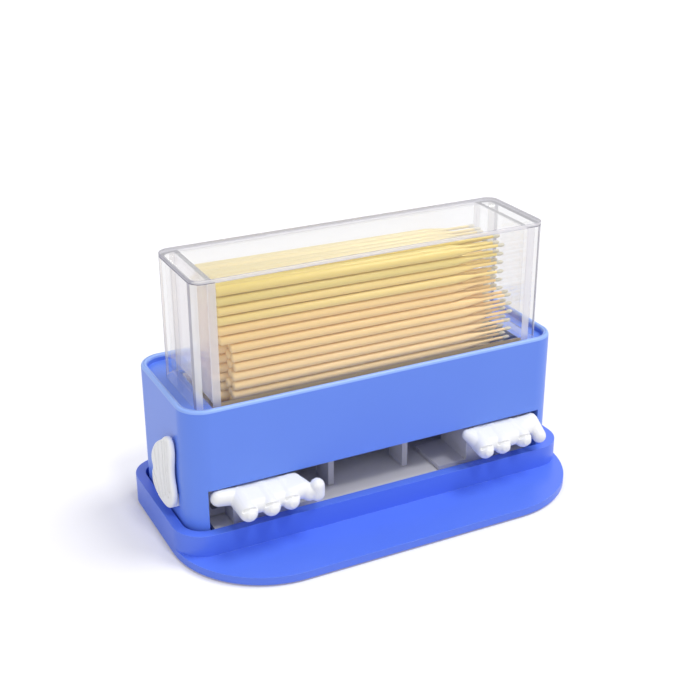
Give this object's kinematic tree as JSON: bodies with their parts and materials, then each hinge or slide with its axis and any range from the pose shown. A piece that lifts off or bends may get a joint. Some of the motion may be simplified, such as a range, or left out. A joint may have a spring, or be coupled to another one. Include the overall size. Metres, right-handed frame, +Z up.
{
  "type": "microbrush dispenser",
  "caption": "Table dispenser with a clear lidded brush hopper on a blue body and rimmed base; a sprung white carriage with hands and side grips brings a brush to the front slot.",
  "frame": {"origin": "on the table, under the middle of the base and its apron", "axes": "+Z up, front with the slot and apron towards -Y, +X along the slot"},
  "size_m": [0.139, 0.0742, 0.0891],
  "materials": {
    "blue_base": "moulded, semi-gloss blue",
    "blue_body": "moulded, semi-gloss blue",
    "foot_rubber": "matt",
    "screw_steel": "zinc plated",
    "rod_steel": "ground",
    "spring_steel": "bright wire",
    "white_floor": "moulded white",
    "white_chute": "moulded white",
    "white_carriage": "moulded white",
    "white_hand": "moulded white",
    "white_grip": "moulded white",
    "clear_hopper": "clear polystyrene, polished",
    "clear_lid": "clear polystyrene, polished",
    "brush_handle": "moulded yellow",
    "brush_tip": "flocked off-white"
  },
  "bodies": {
    "housing": {"base_tray": "blue_base", "rubber_feet": "foot_rubber", "body_shell": "blue_body", "body_screws": "screw_steel", "floor_tray": "white_floor", "floor_screws": "screw_steel", "left_guide_rod": "rod_steel", "right_guide_rod": "rod_steel", "left_return_spring": "spring_steel", "right_return_spring": "spring_steel", "feed_chute": "white_chute", "chute_screws": "screw_steel", "hopper": "clear_hopper", "brush_handles": "brush_handle", "brush_tips": "brush_tip", "queued_brushes": "brush_handle"},
    "slider": {"carriage": "white_carriage", "left_hand": "white_hand", "right_hand": "white_hand", "left_grip": "white_grip", "right_grip": "white_grip", "spring_washers": "screw_steel"},
    "lid": {"hopper_lid": "clear_lid"}
  },
  "joints": [
    {"name": "carriage_slide", "type": "slide", "parent": "housing", "child": "slider", "axis": [0, 1, 0], "range_m": [0, 0.011], "stiffness_N_per_m": 150, "springref_m": -0.004, "deforming": ["left_return_spring", "right_return_spring"]},
    {"name": "lid_lift", "type": "slide", "parent": "housing", "child": "lid", "axis": [0, 0, 1], "range_m": [0, 0.05]}
  ]
}
